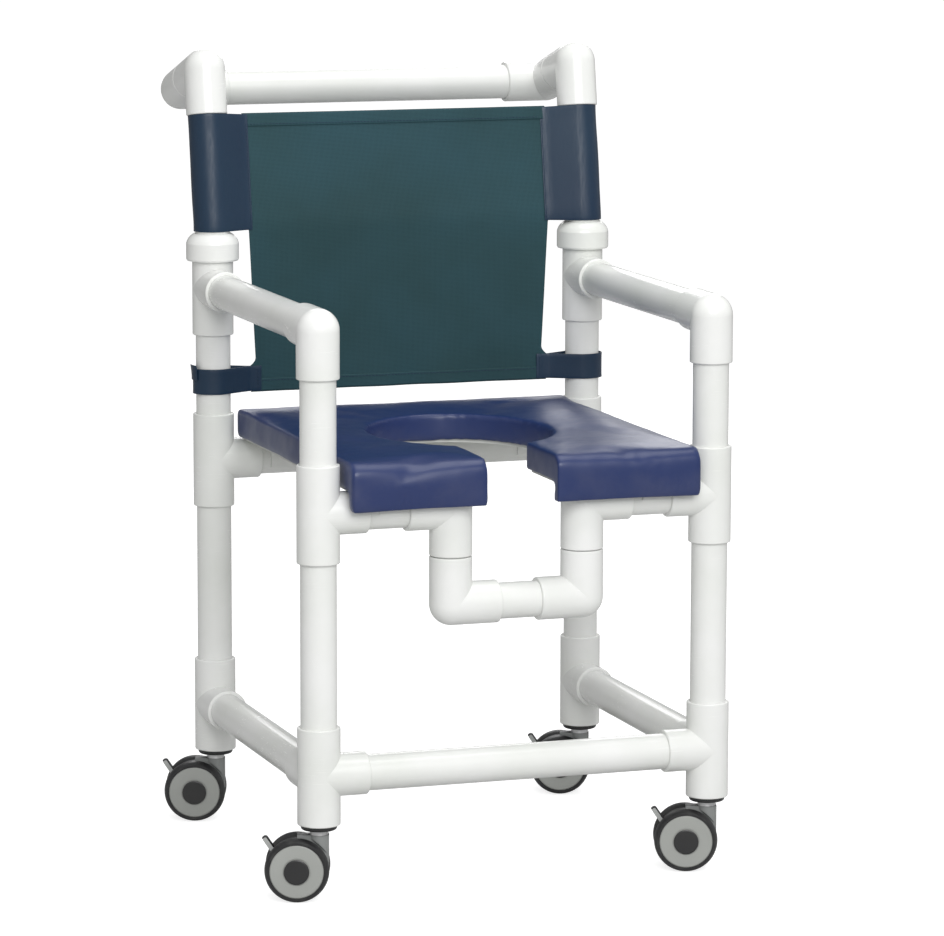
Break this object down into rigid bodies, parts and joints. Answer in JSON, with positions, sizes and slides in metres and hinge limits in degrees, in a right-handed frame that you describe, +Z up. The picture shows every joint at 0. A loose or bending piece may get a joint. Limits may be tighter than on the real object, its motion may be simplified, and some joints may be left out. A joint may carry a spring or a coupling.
{
  "type": "commode chair",
  "caption": "Rolling shower and commode chair of white plastic pipe with arms, a mesh back sling, an open-front padded seat, a dropped front rail, a push bar and braked casters.",
  "frame": {"origin": "on the floor, in the middle of the four upright posts", "axes": "+X to the right seen from the front, -Y is the front of the chair, +Z up"},
  "size_m": [0.5777, 0.6447, 0.9504],
  "materials": {
    "white_pvc": "smooth gloss",
    "sling_mesh": "woven vinyl-coated mesh",
    "sleeve_vinyl": "coated fabric",
    "seat_vinyl": "smooth upholstery vinyl",
    "seat_board": "sawn plastic board",
    "clip_plastic": "moulded",
    "steel": "stainless",
    "caster_grey": "moulded satin",
    "black_plastic": "moulded satin",
    "tread_rubber": "moulded rubber"
  },
  "bodies": {
    "frame": {"front_foot_fittings": "white_pvc", "rear_foot_tees": "white_pvc", "base_side_rails": "white_pvc", "base_front_rail": "white_pvc", "front_legs": "white_pvc", "rear_legs": "white_pvc", "front_seat_tees": "white_pvc", "rear_seat_tees": "white_pvc", "rear_seat_rail": "white_pvc", "front_rail_stubs": "white_pvc", "drop_elbows": "white_pvc", "drop_cross_tube": "white_pvc", "close_nipples": "white_pvc", "front_arm_posts": "white_pvc", "rear_arm_posts": "white_pvc", "arm_elbows": "white_pvc", "arm_rails": "white_pvc", "arm_tees": "white_pvc", "back_collars": "white_pvc", "back_posts": "white_pvc", "back_top_elbows": "white_pvc", "handle_elbows": "white_pvc", "push_bar": "white_pvc", "back_sling": "sling_mesh", "seat_pad": "seat_vinyl", "seat_board": "seat_board", "seat_saddles": "clip_plastic", "seat_clips": "clip_plastic", "seat_screws": "steel", "caster_plugs": "black_plastic", "caster_stems": "black_plastic"},
    "caster_front_left": {"caster_front_left_body": "caster_grey", "caster_front_left_axle": "black_plastic"},
    "brake_front_left": {"caster_front_left_brake_lever": "caster_grey"},
    "wheel_front_left_front": {"caster_front_left_wheel_front": "tread_rubber", "caster_front_left_cover_front": "caster_grey"},
    "wheel_front_left_rear": {"caster_front_left_wheel_rear": "tread_rubber", "caster_front_left_cover_rear": "caster_grey"},
    "caster_front_right": {"caster_front_right_body": "caster_grey", "caster_front_right_axle": "black_plastic"},
    "brake_front_right": {"caster_front_right_brake_lever": "caster_grey"},
    "wheel_front_right_front": {"caster_front_right_wheel_front": "tread_rubber", "caster_front_right_cover_front": "caster_grey"},
    "wheel_front_right_rear": {"caster_front_right_wheel_rear": "tread_rubber", "caster_front_right_cover_rear": "caster_grey"},
    "caster_rear_left": {"caster_rear_left_body": "caster_grey", "caster_rear_left_axle": "black_plastic"},
    "brake_rear_left": {"caster_rear_left_brake_lever": "caster_grey"},
    "wheel_rear_left_front": {"caster_rear_left_wheel_front": "tread_rubber", "caster_rear_left_cover_front": "caster_grey"},
    "wheel_rear_left_rear": {"caster_rear_left_wheel_rear": "tread_rubber", "caster_rear_left_cover_rear": "caster_grey"},
    "caster_rear_right": {"caster_rear_right_body": "caster_grey", "caster_rear_right_axle": "black_plastic"},
    "brake_rear_right": {"caster_rear_right_brake_lever": "caster_grey"},
    "wheel_rear_right_front": {"caster_rear_right_wheel_front": "tread_rubber", "caster_rear_right_cover_front": "caster_grey"},
    "wheel_rear_right_rear": {"caster_rear_right_wheel_rear": "tread_rubber", "caster_rear_right_cover_rear": "caster_grey"}
  },
  "joints": [
    {"name": "swivel_front_left", "type": "hinge", "parent": "frame", "child": "caster_front_left", "pos_m": [-0.24, -0.218, 0.0765], "axis": [0, 0, 1], "continuous": true},
    {"name": "roll_front_left_front", "type": "hinge", "parent": "caster_front_left", "child": "wheel_front_left_front", "pos_m": [-0.26364, -0.20986, 0.0375], "axis": [0.3256, 0.9455, 0], "continuous": true},
    {"name": "roll_front_left_rear", "type": "hinge", "parent": "caster_front_left", "child": "wheel_front_left_rear", "pos_m": [-0.26364, -0.20986, 0.0375], "axis": [0.3256, 0.9455, 0], "continuous": true},
    {"name": "brake_front_left", "type": "hinge", "parent": "caster_front_left", "child": "brake_front_left", "pos_m": [-0.28349, -0.20302, 0.0465], "axis": [-0.3256, -0.9455, 0], "range_deg": [0, 20]},
    {"name": "swivel_front_right", "type": "hinge", "parent": "frame", "child": "caster_front_right", "pos_m": [0.24, -0.218, 0.0765], "axis": [0, 0, 1], "continuous": true},
    {"name": "roll_front_right_front", "type": "hinge", "parent": "caster_front_right", "child": "wheel_front_right_front", "pos_m": [0.21636, -0.20986, 0.0375], "axis": [0.3256, 0.9455, 0], "continuous": true},
    {"name": "roll_front_right_rear", "type": "hinge", "parent": "caster_front_right", "child": "wheel_front_right_rear", "pos_m": [0.21636, -0.20986, 0.0375], "axis": [0.3256, 0.9455, 0], "continuous": true},
    {"name": "brake_front_right", "type": "hinge", "parent": "caster_front_right", "child": "brake_front_right", "pos_m": [0.19651, -0.20302, 0.0465], "axis": [-0.3256, -0.9455, 0], "range_deg": [0, 20]},
    {"name": "swivel_rear_left", "type": "hinge", "parent": "frame", "child": "caster_rear_left", "pos_m": [-0.24, 0.218, 0.0765], "axis": [0, 0, 1], "continuous": true},
    {"name": "roll_rear_left_front", "type": "hinge", "parent": "caster_rear_left", "child": "wheel_rear_left_front", "pos_m": [-0.26364, 0.22614, 0.0375], "axis": [0.3256, 0.9455, 0], "continuous": true},
    {"name": "roll_rear_left_rear", "type": "hinge", "parent": "caster_rear_left", "child": "wheel_rear_left_rear", "pos_m": [-0.26364, 0.22614, 0.0375], "axis": [0.3256, 0.9455, 0], "continuous": true},
    {"name": "brake_rear_left", "type": "hinge", "parent": "caster_rear_left", "child": "brake_rear_left", "pos_m": [-0.28349, 0.23298, 0.0465], "axis": [-0.3256, -0.9455, 0], "range_deg": [0, 20]},
    {"name": "swivel_rear_right", "type": "hinge", "parent": "frame", "child": "caster_rear_right", "pos_m": [0.24, 0.218, 0.0765], "axis": [0, 0, 1], "continuous": true},
    {"name": "roll_rear_right_front", "type": "hinge", "parent": "caster_rear_right", "child": "wheel_rear_right_front", "pos_m": [0.21636, 0.22614, 0.0375], "axis": [0.3256, 0.9455, 0], "continuous": true},
    {"name": "roll_rear_right_rear", "type": "hinge", "parent": "caster_rear_right", "child": "wheel_rear_right_rear", "pos_m": [0.21636, 0.22614, 0.0375], "axis": [0.3256, 0.9455, 0], "continuous": true},
    {"name": "brake_rear_right", "type": "hinge", "parent": "caster_rear_right", "child": "brake_rear_right", "pos_m": [0.19651, 0.23298, 0.0465], "axis": [-0.3256, -0.9455, 0], "range_deg": [0, 20]}
  ]
}
